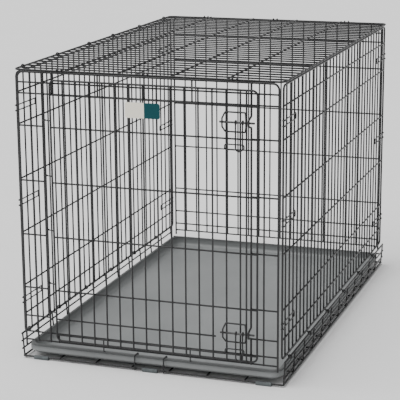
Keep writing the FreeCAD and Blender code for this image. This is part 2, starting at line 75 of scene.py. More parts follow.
# The axes of two crossing, welded wires lie this far apart.
STEP = 2.5

# A bar runs this far past the axis of the last wire that it is welded to.
BAR_END = 1.0

# The latches' guides and keepers sink this far into the door bars that they are welded to.
LATCH_SINK = 0.1

# Weld beads, as radius and half thickness
BAR_BEAD = (2.6, 1.7)
FRAME_BEAD = (3.0, 2.3)
TOP_BEAD = (3.1, 2.3)
FLOOR_BEAD = (3.2, 2.2)
RIM_BEAD = (2.7, 1.6)
EYE_BEAD = (2.9, 2.4)
HANGER_BEAD = (2.7, 2.2)
LOOP_BEAD = (3.0, 2.2)
HOOK_BEAD = (2.5, 1.4)
HOLD_DOWN_BEAD = (2.6, 1.6)

# Levels
LEVEL_PITCH = 152.4
MAIN_LEVELS = [212.4 + LEVEL_PITCH * k for k in range(4)]
LOW_LEVEL = 130.0
HIGH_LEVEL = 758.0
SILL_LEVELS = (60.0, 84.0)
HEADER_LEVELS = (HIGH_LEVEL, 788.0)
END_LEVELS = [*SILL_LEVELS, LOW_LEVEL, *MAIN_LEVELS, *HEADER_LEVELS]

# Panels
TOP_X, TOP_Y, TOP_Z = 378.25, 606.75, 820.0
TOP_BAYS = 32
TOP_BUMP = 3.0
TOP_BEND = 18.0
TOP_LONG_BAYS = 5
SIDE_X, SIDE_Y, SIDE_TOP, SIDE_BOTTOM = 374.0, 603.0, 811.0, 77.0
SIDE_BAYS = 32
SIDE_BEND = 12.0
END_X, END_Y, END_TOP, END_FOOT = 365.4, 613.3, 816.0, 44.0
END_BAR_Y = END_Y + STEP
END_BEND = 16.0
REAR_BAYS = 19
BAR_PITCH = 38.1
JOIN_X = 286.0
HEADER_POST_X = (-265.0, -132.0, 0.0, 132.0)
SILL_POST_X = (-265.0, 265.0)
END_HOOK_X = (-245.0, 0.0, 245.0)
HANGER_HALF = 6.5
SIDE_TOP_EYE_BAYS = (-14.5, -8.5, -2.5, 2.5, 8.5, 14.5)

# How far an eye's leg reaches from the middle of its eye
SIDE_LEG = 9.5
TOP_LEG = 8.6
LOOP_LEG = 21.5

# Hold-down wires: down the sill, then inward over the pan's rim
HOLD_DOWN_X = (-131.0, 121.0)
HOLD_DOWN_SINK = 0.8
HOLD_DOWN_Y = -END_Y - BAR_R - HOOK_R + HOLD_DOWN_SINK
HOLD_DOWN_TOP = SILL_LEVELS[1] + 3
HOLD_DOWN_KNEE_Z = 47.0
HOLD_DOWN_TIP_Y, HOLD_DOWN_TIP_Z = -605.5, 46.0
HOLD_DOWN_BEND = 4.0

# Corner hooks
CORNER_HOOK_LEVELS = (170.0, 450.0, 714.0)
CORNER_HOOK_HALF = 7.5
CORNER_HOOK_BAYS = 3
CORNER_HOOK_SINK = 0.5
CORNER_HOOK_FRONT = 4.6
CORNER_HOOK_TIP = 2.0
CORNER_HOOK_SLOPE = (8, 16)
HOOK_BEND = 3.2

# Base basket
FLOOR_X, FLOOR_Y, FLOOR_Z = 379.0, 607.0, 6.5
RIM_X, RIM_Z = 383.5, 71.0
RAIL_LEVELS = (27.0, 49.0)
REAR_LIP_Z = 36.0
FLOOR_LONG_BAYS = 7
FLOOR_CROSS_BAYS = 12
FLOOR_BEND = 2.6
WALL_INSET = 4
LIP_INSET = 6

# Door and latches
HINGE_X, STRIKE_X = -289.8, 292.5
DOOR_LEFT, DOOR_RIGHT, DOOR_TOP, DOOR_BOTTOM = -268.0, 311.0, 797.0, 68.0
DOOR_Y = 621.5
DOOR_BAR_Y = DOOR_Y + STEP
DOOR_BEND = 14.0
DOOR_BARS = 14
LATCH_BAR_X = 282.0
SHORT_LEVEL_BAYS = 12
SHORT_LEVEL_END = DOOR_LEFT + BAR_PITCH * SHORT_LEVEL_BAYS + 6
LOOP_LIFT = 18.0

# For each latch, the level of its bolt and how far below it the keeper lies
LATCHES = {"upper": (715.0, 66.0), "lower": (147.0, 53.0)}
BOLT_X = (212.0, 307.0)
BOLT_TRIM = 0.7
BOLT_ROOM = 0.7
HANDLE_X = (256.0, 275.0)
HANDLE_Y = 636.0
HANDLE_DROP = 75.0
HANDLE_BEND = 9.0
GUIDE_X = (221.0, 285.0)
GUIDE_HALF = 25.5
GUIDE_BOW_HALF = 11.0
GUIDE_TAPER = 5.0
GUIDE_BEND = 4.0
GUIDE_Y = DOOR_BAR_Y + BAR_R + GUIDE_R - LATCH_SINK
GUIDE_OUT_Y = BOLT_Y + FRAME_R + GUIDE_R + BOLT_ROOM
KEEPER_X = (224.0, 276.5)
KEEPER_HALF = 7.0
KEEPER_Y = DOOR_BAR_Y + BAR_R + HOOK_R - LATCH_SINK
KEEPER_BEND = 5.0
STRIKE_BOW_HALF = 8.0
STRIKE_FOOT_HALF = 15.0

# Pan clip
PAN_TOP_Z = 42.0
CLIP_R = 1.8
CLIP_X = 42.0
CLIP_FRONT_Y = -612.1
CLIP_FOOT_Z = 3.0
CLIP_BAR_Y = -586.0
CLIP_BAR_Z = 33.0
CLIP_ROOM = 0.8
CLIP_OVER_Z = PAN_TOP_Z + CLIP_R + CLIP_ROOM
CLIP_BEND = 3.0

# Painted shade: the pan's colour darkens between these levels, from its wall to its rim.
PAN_PAINTED_SHADE_Z = (30.0, 41.0)

# Mesh detail, and the shape of a wire's end and of a bead as shares of their own size
SIDES = 12
WELD_SIDES = 8
ARC_STEPS = 6
EYE_STEPS = 20
WIDE_EYE_STEPS = 24
CAP_RISE = 0.3
CAP_WIDTH = 0.72
BEAD_RINGS = (-0.6, 0.0, 0.6)

# How rough the noise of every material is, as Blender counts it
NOISE_ROUGHNESS = 0.55

# Label colours
LABEL_CREAM = (0.92, 0.88, 0.76)
LABEL_TEAL = (0.001, 0.062, 0.072)

# Stage, in metres and degrees; the key light's way points from the crate towards it.
FLOOR_HALF = 30.0
WORLD_LIGHT = 0.55
KEY_WAY = (-0.6, -0.5, 1.8)
KEY_STRENGTH = 3.2
KEY_SOFTNESS = 60.0

# Camera, in metres and degrees, with its focus as a share of the picture's width
CAMERA_PLACE = (1.381, -4.157 + SHIFT_Y * MM, 1.434)
CAMERA_AZIMUTH = 19.14
CAMERA_ELEVATION = 14.0
CAMERA_ROLL = -0.42
CAMERA_FOCUS_SHARE = 1475 / 400


def spread(low, high, bays):
    """The places strictly between two ends."""
    return [low + (high - low) * k / bays for k in range(1, bays)]


# --------------------------------------------------------------- mesh of wires
class Wires:
    """Gathers round wires and their welds into one smooth mesh."""

    def __init__(self):
        self.points = []
        self.faces = []

    def ring(self, centre, side, up, radius):
        """Adds one ring of points and gives the number of its first."""
        first = len(self.points)
        for k in range(SIDES):
            turn = 2 * math.pi * k / SIDES
            self.points.append(centre + (side * math.cos(turn) + up * math.sin(turn)) * radius)
        return first

    def join(self, first, second, offset=0):
        """Adds the faces between two rings, the second turned by some points."""
        for k in range(SIDES):
            after = (k + 1) % SIDES
            far = second + (k + offset) % SIDES
            far_after = second + (after + offset) % SIDES
            self.faces.append((first + k, first + after, far_after, far))

    def cap(self, centre, outward, side, up, radius, flip):
        """A slightly domed end with a rolled edge, as a cut and coated wire has."""
        rim = self.ring(centre, side, up, radius)
        top = self.ring(centre + outward * radius * CAP_RISE, side, up, radius * CAP_WIDTH)
        face = tuple(range(top, top + SIDES))
        if flip:
            self.join(top, rim)
            self.faces.append(tuple(reversed(face)))
        else:
            self.join(rim, top)
            self.faces.append(face)
        return rim

    def wire(self, corners, radius, bend=0.0, closed=False):
        """A wire through the corners, rounded by the bend radius."""
        path = centreline([Vector(c) for c in corners], bend, closed)
        count = len(path)
        tangents = []
        for i in range(count):
            ahead = path[(i + 1) % count] if closed or i < count - 1 else path[i]
            behind = path[i - 1] if closed or i > 0 else path[i]
            tangents.append((ahead - behind).normalized())
        side = tangents[0].orthogonal().normalized()
        start_side = side.copy()
        rings = []
        for centre, tangent in zip(path, tangents):
            side = (side - tangent * side.dot(tangent)).normalized()
            rings.append((centre, tangent, side, tangent.cross(side)))
        if closed:
            loops = [self.ring(c, s, u, radius) for c, t, s, u in rings]
            for a, b in zip(loops, loops[1:]):
                self.join(a, b)
            last = rings[-1][2]
            first_t, first_s, first_u = rings[0][1], start_side, rings[0][3]
            last = (last - first_t * last.dot(first_t)).normalized()
            angle = math.atan2(last.dot(first_u), last.dot(first_s))
            self.join(loops[-1], loops[0], round(angle / (2 * math.pi) * SIDES))
            return
        c, t, s, u = rings[0]
        loops = [self.cap(c, -t, s, u, radius, True)]
        loops += [self.ring(c, s, u, radius) for c, t, s, u in rings[1:-1]]
        c, t, s, u = rings[-1]
        loops.append(self.cap(c, t, s, u, radius, False))
        for a, b in zip(loops, loops[1:]):
            self.join(a, b)

    def eye(self, centre, axis, radius, wire, steps=EYE_STEPS):
        """A closed ring of wire around an axis."""
        axis = Vector(axis).normalized()
        side = axis.orthogonal().normalized()
        up = axis.cross(side)
        around = []
        for k in range(steps):
            turn = 2 * math.pi * k / steps
            around.append(Vector(centre) + (side * math.cos(turn) + up * math.sin(turn)) * radius)
        self.wire(around, wire, closed=True)

    def weld(self, centre, across, bead=BAR_BEAD):
        """A flattened bead where two crossing wires were resistance welded and then coated."""
        radius, thick = bead
        centre = Vector(centre)
        normal = Vector(across).normalized()
        side = normal.orthogonal().normalized()
        up = normal.cross(side)
        low = len(self.points)
        self.points.append(centre - normal * thick)
        loops = []
        for share in BEAD_RINGS:
            width = radius * math.sqrt(1 - share * share)
            first = len(self.points)
            for k in range(WELD_SIDES):
                turn = 2 * math.pi * k / WELD_SIDES
                way = side * math.cos(turn) + up * math.sin(turn)
                self.points.append(centre + normal * share * thick + way * width)
            loops.append(first)
        high = len(self.points)
        self.points.append(centre + normal * thick)
        for k in range(WELD_SIDES):
            after = (k + 1) % WELD_SIDES
            self.faces.append((low, loops[0] + after, loops[0] + k))
            self.faces.append((high, loops[2] + k, loops[2] + after))
            for a, b in zip(loops, loops[1:]):
                self.faces.append((a + k, a + after, b + after, b + k))

    def flipped(self, x=1, y=1):
        """A mirrored copy, with its faces turned back outward."""
        copy = Wires()
        copy.points = [Vector((p.x * x, p.y * y, p.z)) for p in self.points]
        turned = x * y < 0
        copy.faces = [tuple(reversed(f)) if turned else f for f in self.faces]
        return copy

    def make(self, name, body, node, material=None):
        """Makes the mesh object, hides the plain CAD node and rides on the body."""
        moved = [(p.x * MM, (p.y + SHIFT_Y) * MM, p.z * MM) for p in self.points]
        mesh = bpy.data.meshes.new(name)
        mesh.from_pydata(moved, [], self.faces)
        mesh.validate()
        mesh.polygons.foreach_set("use_smooth", [True] * len(mesh.polygons))
        piece = bpy.data.objects.new(name, mesh)
        bpy.context.collection.objects.link(piece)
        piece.data.materials.append(material or COATED)
        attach(piece, body)
        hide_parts(node)


def centreline(corners, bend, closed):
    """The corner points with each corner replaced by an arc."""
    if not bend:
        return corners
    path = []
    count = len(corners)
    for i, corner in enumerate(corners):
        if not closed and i in (0, count - 1):
            path.append(corner)
            continue
        back = (corners[i - 1] - corner).normalized()
        ahead = (corners[(i + 1) % count] - corner).normalized()
        half = back.angle(ahead) / 2
        reach = bend / math.tan(half)
        centre = corner + (back + ahead).normalized() * bend / math.sin(half)
        start = corner + back * reach - centre
        sweep = math.pi - 2 * half
        axis = start.cross(corner - centre).normalized()
        for k in range(ARC_STEPS + 1):
            path.append(centre + Matrix.Rotation(sweep * k / ARC_STEPS, 3, axis) @ start)
    return path


# ------------------------------------------------------------------- materials
def new_material(name):
    material = bpy.data.materials.new(name)
    material.use_nodes = True
    nodes = material.node_tree.nodes
    shader = nodes["Principled BSDF"]
    place = nodes.new("ShaderNodeTexCoord")
    return material, nodes, material.node_tree.links, shader, place.outputs["Object"]


def noise(nodes, links, place, scale, detail):
    node = nodes.new("ShaderNodeTexNoise")
    node.inputs["Scale"].default_value = scale
    node.inputs["Detail"].default_value = detail
    node.inputs["Roughness"].default_value = NOISE_ROUGHNESS
    links.new(place, node.inputs["Vector"])
    return node.outputs["Fac"]


def ramp(nodes, links, value, stops):
    node = nodes.new("ShaderNodeValToRGB")
    elements = node.color_ramp.elements
    while len(elements) < len(stops):
        elements.new(0.5)
    for element, (place, colour) in zip(elements, stops):
        element.position = place
        element.color = (*colour, 1.0)
    links.new(value, node.inputs["Fac"])
    return node.outputs["Color"]


def grey(value):
    return (value, value, value)


def multiplied(nodes, links, shader, first, second, share):
    """Colours the shader with the first colour, multiplied in part by the second."""
    mix = nodes.new("ShaderNodeMix")
    mix.data_type = "RGBA"
    mix.blend_type = "MULTIPLY"
    mix.inputs[0].default_value = share
    links.new(first, mix.inputs[6])
    links.new(second, mix.inputs[7])
    links.new(mix.outputs[2], shader.inputs["Base Color"])


def along(nodes, links, place, axis, low, high):
    """Runs from 0 to 1 between two places along an axis."""
    split = nodes.new("ShaderNodeSeparateXYZ")
    links.new(place, split.inputs["Vector"])
    span = nodes.new("ShaderNodeMapRange")
    span.inputs["From Min"].default_value = low
    span.inputs["From Max"].default_value = high
    links.new(split.outputs[axis], span.inputs["Value"])
    return span.outputs["Result"]


def bumped(nodes, links, shader, heights, distance, strength):
    node = nodes.new("ShaderNodeBump")
    node.inputs["Distance"].default_value = distance
    node.inputs["Strength"].default_value = strength
    links.new(heights, node.inputs["Height"])
    links.new(node.outputs["Normal"], shader.inputs["Normal"])


def coated_wire():
    """Black electro-coated steel wire: satin, slightly uneven, with dusty and worn patches."""
    material, nodes, links, shader, place = new_material("coated_wire")
    drift = noise(nodes, links, place, 9.0, 3.0)
    speck = noise(nodes, links, place, 420.0, 3.0)
    tone = ramp(
        nodes, links, drift, [(0.3, (0.011, 0.011, 0.012)), (0.7, (0.021, 0.021, 0.022))]
    )
    fleck = ramp(nodes, links, speck, [(0.35, grey(0.65)), (0.62, grey(1.0)), (0.8, grey(1.5))])
    multiplied(nodes, links, shader, tone, fleck, 0.6)
    rough = ramp(nodes, links, speck, [(0.25, grey(0.26)), (0.75, grey(0.44))])
    links.new(rough, shader.inputs["Roughness"])
    shader.inputs["Specular IOR Level"].default_value = 0.4
    bumped(nodes, links, shader, noise(nodes, links, place, 900.0, 2.0), 0.00012, 0.5)
    return material


def bolt_steel():
    """The bolts are coated like the wires, with the coat rubbed thin where they slide."""
    material, nodes, links, shader, place = new_material("bolt_wire")
    streaks = nodes.new("ShaderNodeMapping")
    streaks.inputs["Scale"].default_value = (40.0, 900.0, 900.0)
    links.new(place, streaks.inputs["Vector"])
    rub = noise(nodes, links, streaks.outputs["Vector"], 1.0, 3.0)
    tone = ramp(nodes, links, rub, [(0.4, grey(0.035)), (0.75, (0.10, 0.10, 0.102))])
    links.new(tone, shader.inputs["Base Color"])
    rough = ramp(nodes, links, rub, [(0.3, grey(0.38)), (0.7, grey(0.25))])
    links.new(rough, shader.inputs["Roughness"])
    shader.inputs["Metallic"].default_value = 0.35
    bumped(nodes, links, shader, rub, 0.0001, 0.3)
    return material


def pan_plastic():
    """Grey moulded tray: fine pebble texture, a slightly cloudy tone, and painted shade that darkens
    its rim.
    """
    material, nodes, links, shader, place = new_material("pan_plastic")
    cloud = noise(nodes, links, place, 3.5, 4.0)
    grain = nodes.new("ShaderNodeTexVoronoi")
    grain.inputs["Scale"].default_value = 520.0
    links.new(place, grain.inputs["Vector"])
    tone = ramp(
        nodes,
        links,
        cloud,
        [(0.3, (0.205, 0.215, 0.216)), (0.7, (0.255, 0.265, 0.266))],
    )
    # Painted shade: the colour is multiplied darker towards the rim, as where the rim turns away from
    # the light.
    height = along(nodes, links, place, "Z", PAN_PAINTED_SHADE_Z[0] * MM, PAN_PAINTED_SHADE_Z[1] * MM)
    rim = ramp(nodes, links, height, [(0.0, grey(1.0)), (1.0, grey(0.55))])
    multiplied(nodes, links, shader, tone, rim, 1.0)
    rough = ramp(nodes, links, cloud, [(0.3, grey(0.48)), (0.7, grey(0.60))])
    links.new(rough, shader.inputs["Roughness"])
    bumped(nodes, links, shader, grain.outputs["Distance"], 0.0002, 0.45)
    return material


def foot_rubber():
    """Slate grey rubber sleeve with a dusty, finely pitted skin."""
    material, nodes, links, shader, place = new_material("foot_rubber")
    pits = noise(nodes, links, place, 650.0, 4.0)
    dust = noise(nodes, links, place, 60.0, 3.0)
    tone = ramp(nodes, links, dust, [(0.35, (0.07, 0.08, 0.083)), (0.7, (0.115, 0.13, 0.134))])
    links.new(tone, shader.inputs["Base Color"])
    rough = ramp(nodes, links, pits, [(0.3, grey(0.62)), (0.7, grey(0.85))])
    links.new(rough, shader.inputs["Roughness"])
    bumped(nodes, links, shader, pits, 0.00025, 0.6)
    return material


def label_print():
    """Two-tone printed plate: cream to the left, teal to the right, without lettering."""
    material, nodes, links, shader, place = new_material("label_print")
    low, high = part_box("door_label_plate")
    width = along(nodes, links, place, "X", low.x, high.x)
    stops = [(0.0, LABEL_CREAM), (0.545, LABEL_CREAM), (0.55, LABEL_TEAL)]
    halves = ramp(nodes, links, width, stops)
    fibre = noise(nodes, links, place, 260.0, 3.0)
    weave = ramp(nodes, links, fibre, [(0.3, grey(0.8)), (0.7, grey(1.0))])
    multiplied(nodes, links, shader, halves, weave, 0.25)
    rough = ramp(nodes, links, fibre, [(0.3, grey(0.40)), (0.7, grey(0.50))])
    links.new(rough, shader.inputs["Roughness"])
    shader.inputs["Specular IOR Level"].default_value = 0.2
    bumped(nodes, links, shader, fibre, 0.00005, 0.3)
    return material


COATED = coated_wire()
RUBBED = bolt_steel()


# ----------------------------------------------------------------- base basket
def base_places():
    """Where the basket's upright wires stand along the length."""
    inner = spread(-FLOOR_Y, FLOOR_Y, FLOOR_CROSS_BAYS)
    return [-FLOOR_Y + WALL_INSET] + inner + [FLOOR_Y - WALL_INSET]


def base_floor():
    """The floor grid and its bent outer wire."""
    w = Wires()
    corners = [(-FLOOR_X, -FLOOR_Y), (FLOOR_X, -FLOOR_Y), (FLOOR_X, FLOOR_Y), (-FLOOR_X, FLOOR_Y)]
    w.wire([(x, y, FLOOR_Z) for x, y in corners], FRAME_R, FLOOR_BEND, closed=True)
    for x in spread(-FLOOR_X, FLOOR_X, FLOOR_LONG_BAYS):
        w.wire([(x, -FLOOR_Y, FLOOR_Z), (x, FLOOR_Y, FLOOR_Z)], BAR_R)
        for y in (-FLOOR_Y, FLOOR_Y):
            w.weld((x, y, FLOOR_Z), (0, 0, 1), FLOOR_BEAD)
    for y in spread(-FLOOR_Y, FLOOR_Y, FLOOR_CROSS_BAYS):
        w.wire([(-FLOOR_X, y, FLOOR_Z + STEP), (FLOOR_X, y, FLOOR_Z + STEP)], BAR_R)
        for x in spread(-FLOOR_X, FLOOR_X, FLOOR_LONG_BAYS):
            w.weld((x, y, FLOOR_Z + STEP / 2), (0, 0, 1))
    w.make("base_floor_wires", "base", "base_floor_grid")


def base_wall():
    """The turned-up walls, left and right, and their rim wires."""
    w = Wires()
    for y in base_places():
        w.wire([(FLOOR_X, y, FLOOR_Z), (RIM_X, y, RIM_Z)], BAR_R)
    for z in RAIL_LEVELS:
        x = FLOOR_X + (RIM_X - FLOOR_X) * (z - FLOOR_Z) / (RIM_Z - FLOOR_Z)
        w.wire([(x + STEP, -FLOOR_Y, z), (x + STEP, FLOOR_Y, z)], BAR_R)
        for y in base_places():
            w.weld((x + STEP / 2, y, z), (1, 0, 0))
    w.make("base_wall_wires_right", "base", "base_wall_right")
    w.flipped(x=-1).make("base_wall_wires_left", "base", "base_wall_left")
    for sign, side in ((1, "right"), (-1, "left")):
        rim = Wires()
        rim.wire([(sign * RIM_X, -FLOOR_Y, RIM_Z), (sign * RIM_X, FLOOR_Y, RIM_Z)], FRAME_R)
        for y in base_places():
            rim.weld((sign * (RIM_X - 0.4), y, RIM_Z - 1.2), (0, 0, 1), RIM_BEAD)
        rim.make("base_rim_wire_" + side, "base", "base_rim_" + side)


def base_lip():
    """The low lip at the far end."""
    w = Wires()
    end_x = FLOOR_X - LIP_INSET
    w.wire([(-end_x, FLOOR_Y, REAR_LIP_Z), (end_x, FLOOR_Y, REAR_LIP_Z)], BAR_R)
    for x in spread(-FLOOR_X, FLOOR_X, FLOOR_LONG_BAYS):
        w.wire([(x, FLOOR_Y, FLOOR_Z), (x, FLOOR_Y, REAR_LIP_Z)], BAR_R)
    w.make("base_lip_wires", "base", "base_rear_lip")


# ----------------------------------------------------------------- side panels
def side_panel():
    """Both long side panels."""
    w = Wires()
    outline = [(-SIDE_Y, SIDE_BOTTOM), (-SIDE_Y, SIDE_TOP), (SIDE_Y, SIDE_TOP), (SIDE_Y, SIDE_BOTTOM)]
    w.wire([(SIDE_X, y, z) for y, z in outline], FRAME_R, SIDE_BEND, closed=True)
    levels = [LOW_LEVEL] + MAIN_LEVELS + [HIGH_LEVEL]
    bars = spread(-SIDE_Y, SIDE_Y, SIDE_BAYS)
    for z in levels:
        w.wire([(SIDE_X, -SIDE_Y, z), (SIDE_X, SIDE_Y, z)], BAR_R)
    low, high = SIDE_BOTTOM - BAR_END, SIDE_TOP + BAR_END
    for y in bars:
        w.wire([(SIDE_X - STEP, y, low), (SIDE_X - STEP, y, high)], BAR_R)
        for z in levels + [SIDE_BOTTOM, SIDE_TOP]:
            w.weld((SIDE_X - STEP / 2, y, z), (1, 0, 0))
    w.make("side_wires_right", "side_right", "side_right_grille")
    w.flipped(x=-1).make("side_wires_left", "side_left", "side_left_grille")


def eye_and_leg(w, centre, target, axis, reach):
    """An eye round a hinge wire, with a leg towards the wire it is welded to."""
    centre, target = Vector(centre), Vector(target)
    way = (target - centre).normalized()
    w.eye(centre, axis, EYE_R, HOOK_R)
    w.wire([centre + way * EYE_R, centre + way * reach], HOOK_R)


def side_eyes():
    """Eyes of the side panels round the basket rims."""
    w = Wires()
    places = [-FLOOR_Y] + spread(-FLOOR_Y, FLOOR_Y, FLOOR_CROSS_BAYS) + [FLOOR_Y]
    for first, second in zip(places[0::2], places[1::2]):
        y = (first + second) / 2
        eye_and_leg(w, (RIM_X, y, RIM_Z), (SIDE_X, y, SIDE_BOTTOM), (0, 1, 0), SIDE_LEG)
        w.weld((SIDE_X + 1, y, SIDE_BOTTOM - 1), (0, 1, 0), EYE_BEAD)
    w.make("side_eye_wires_right", "side_right", "side_right_hinge_eyes")
    w.flipped(x=-1).make("side_eye_wires_left", "side_left", "side_left_hinge_eyes")


def corner_hooks():
    """Twin-wire hooks at both ends of the side panels."""
    w = Wires()
    x = SIDE_X + FRAME_R + HOOK_R
    inner_x = SIDE_X + HOOK_R - CORNER_HOOK_SINK
    tip_x = SIDE_X - CORNER_HOOK_TIP
    bay = 2 * SIDE_Y / SIDE_BAYS
    tail = -SIDE_Y + bay * CORNER_HOOK_BAYS + HOOK_R
    front = -SIDE_Y - CORNER_HOOK_FRONT
    slope_start, slope_end = (-SIDE_Y + reach for reach in CORNER_HOOK_SLOPE)
    for z in CORNER_HOOK_LEVELS:
        high, low = z + CORNER_HOOK_HALF, z - CORNER_HOOK_HALF
        path = [
            (tip_x, front, high),
            (x, front, high),
            (x, slope_start, high),
            (inner_x, slope_end, high),
            (inner_x, tail, high),
            (inner_x, tail, low),
            (inner_x, slope_end, low),
            (x, slope_start, low),
            (x, front, low),
            (tip_x, front, low),
        ]
        for way in (1, -1):
            w.wire([(px, py * way, pz) for px, py, pz in path], HOOK_R, HOOK_BEND)
            for level in (high, low):
                w.weld((SIDE_X + FRAME_R - 0.4, -way * SIDE_Y, level), (1, 0, 0), HOOK_BEAD)
                for k in range(1, CORNER_HOOK_BAYS + 1):
                    w.weld((SIDE_X, -way * (SIDE_Y - bay * k), level), (1, 0, 0), HOOK_BEAD)
    w.make("corner_hook_wires_right", "side_right", "side_right_corner_hooks")
    w.flipped(x=-1).make("corner_hook_wires_left", "side_left", "side_left_corner_hooks")


def side_top_eyes():
    """Eyes on the left panel that carry the top panel."""
    w = Wires()
    for k in SIDE_TOP_EYE_BAYS:
        y = k * 2 * TOP_Y / TOP_BAYS
        eye_and_leg(w, (-TOP_X, y, TOP_Z), (-SIDE_X, y, SIDE_TOP), (0, 1, 0), TOP_LEG)
        w.weld((-SIDE_X - 1, y, SIDE_TOP + 1), (0, 1, 0), EYE_BEAD)
    w.make("side_top_eye_wires", "side_left", "side_left_top_eyes")


# ------------------------------------------------------------------- top panel
def top_panel():
    """The roof."""
    w = Wires()
    outline = [(-TOP_X, -TOP_Y), (TOP_X, -TOP_Y), (TOP_X, TOP_Y), (-TOP_X, TOP_Y)]
    w.wire([(x, y, TOP_Z) for x, y in outline], FRAME_R, TOP_BEND, closed=True)
    longs = spread(-TOP_X, TOP_X, TOP_LONG_BAYS)
    reach = TOP_X + TOP_BUMP
    for y in spread(-TOP_Y, TOP_Y, TOP_BAYS):
        w.wire([(-reach, y, TOP_Z), (reach, y, TOP_Z)], BAR_R)
        for x in longs:
            w.weld((x, y, TOP_Z + STEP / 2), (0, 0, 1))
        for x in (-TOP_X, TOP_X):
            w.weld((x, y, TOP_Z), (0, 0, 1), TOP_BEAD)
    for x in longs:
        w.wire([(x, -TOP_Y, TOP_Z + STEP), (x, TOP_Y, TOP_Z + STEP)], BAR_R)
    w.make("top_wires", "top", "top_grille")


# ------------------------------------------------------------------ end panels
def end_outline(x_low, x_high):
    """The part of an end panel's bent outer wire between two upright planes."""
    path = centreline(
        [
            Vector((-END_X, -END_Y, END_FOOT)),
            Vector((-END_X, -END_Y, END_TOP)),
            Vector((END_X, -END_Y, END_TOP)),
            Vector((END_X, -END_Y, END_FOOT)),
        ],
        END_BEND,
        False,
    )
    kept = [p for p in path if x_low <= p.x <= x_high]
    if x_low > -END_X:
        kept.insert(0, Vector((x_low, -END_Y, END_TOP)))
    if x_high < END_X:
        kept.append(Vector((x_high, -END_Y, END_TOP)))
    return kept


def end_bars(w, places, bottom, top, levels):
    """Upright bars of an end panel, with beads where they cross its level wires."""
    for x in places:
        w.wire([(x, -END_BAR_Y, bottom - BAR_END), (x, -END_BAR_Y, top + BAR_END)], BAR_R)
    for x in places:
        for z in levels:
            w.weld((x, -END_Y - STEP / 2, z), (0, 1, 0))


def front_strips():
    """The narrow grilles beside the door opening."""
    for sign, name, inner in ((-1, "left", HINGE_X), (1, "right", STRIKE_X)):
        w = Wires()
        low, high = (-END_X, -JOIN_X) if sign < 0 else (JOIN_X, END_X)
        w.wire(end_outline(low, high), FRAME_R)
        for z in END_LEVELS:
            through = z in SILL_LEVELS or z in HEADER_LEVELS
            stop = sign * JOIN_X if through else inner
            w.wire([(sign * END_X, -END_Y, z), (stop, -END_Y, z)], BAR_R)
            w.weld((inner, -END_Y - STEP / 2, z), (0, 1, 0))
            w.weld((sign * END_X, -END_Y, z), (0, 1, 0), FRAME_BEAD)
        x = sign * (END_X - BAR_PITCH)
        end_bars(w, [x], SILL_LEVELS[0], END_TOP, END_LEVELS + [END_TOP])
        w.make("front_strip_wires_" + name, "front_panel", "front_strip_" + name)


def front_header():
    """The wires over the door opening."""
    w = Wires()
    w.wire([(-JOIN_X, -END_Y, END_TOP), (JOIN_X, -END_Y, END_TOP)], FRAME_R)
    for z in HEADER_LEVELS:
        w.wire([(-JOIN_X, -END_Y, z), (JOIN_X, -END_Y, z)], BAR_R)
    end_bars(w, HEADER_POST_X, HIGH_LEVEL, END_TOP, [*HEADER_LEVELS, END_TOP])
    w.make("front_header_wires", "front_panel", "front_header")


def front_sill():
    """The wires under the door opening."""
    w = Wires()
    for z in SILL_LEVELS:
        w.wire([(-JOIN_X, -END_Y, z), (JOIN_X, -END_Y, z)], BAR_R)
    end_bars(w, SILL_POST_X, *SILL_LEVELS, SILL_LEVELS)
    w.make("front_sill_wires", "front_panel", "front_sill")


def hold_downs():
    """Bent wires that keep the pan's rim down."""
    w = Wires()
    for x in HOLD_DOWN_X:
        path = [
            (x, HOLD_DOWN_Y, HOLD_DOWN_TOP),
            (x, HOLD_DOWN_Y, HOLD_DOWN_KNEE_Z),
            (x, HOLD_DOWN_TIP_Y, HOLD_DOWN_TIP_Z),
        ]
        w.wire(path, HOOK_R, HOLD_DOWN_BEND)
        for z in SILL_LEVELS:
            w.weld((x, HOLD_DOWN_Y + 1.2, z), (0, 1, 0), HOLD_DOWN_BEAD)
    w.make("front_hold_down_wires", "front_panel", "front_hold_downs")


def front_posts():
    """The hinge wire and the bowed strike wire."""
    y = -END_BAR_Y
    bottom, top = SILL_LEVELS[0] - BAR_END, END_TOP + BAR_END
    hinge = Wires()
    hinge.wire([(HINGE_X, y, bottom), (HINGE_X, y, top)], FRAME_R)
    hinge.make("front_hinge_post", "front_panel", "front_hinge_wire")
    points = [(STRIKE_X, y, bottom)]
    for z in (LATCHES["lower"][0], LATCHES["upper"][0]):
        foot, bow = STRIKE_FOOT_HALF, STRIKE_BOW_HALF
        points += [(STRIKE_X, y, z - foot), (STRIKE_X, -STRIKE_OUT_Y, z - bow)]
        points += [(STRIKE_X, -STRIKE_OUT_Y, z + bow), (STRIKE_X, y, z + foot)]
    points.append((STRIKE_X, y, top))
    strike = Wires()
    strike.wire(points, FRAME_R, HOOK_BEND)
    strike.make("front_strike_post", "front_panel", "front_strike_wire")


def end_eyes():
    """Pairs of eyes that hang the end panels from the top panel."""
    w = Wires()
    for x in END_HOOK_X:
        for twin in (x - HANGER_HALF, x + HANGER_HALF):
            w.eye((twin, -TOP_Y, TOP_Z), (1, 0, 0), EYE_R, HOOK_R, WIDE_EYE_STEPS)
            w.weld((twin, -END_Y + 1.2, END_TOP + 1.4), (1, 0, 0), HANGER_BEAD)
    w.make("front_eye_wires", "front_panel", "front_hanger_eyes")
    w.flipped(y=-1).make("rear_eye_wires", "rear_panel", "rear_hanger_eyes")


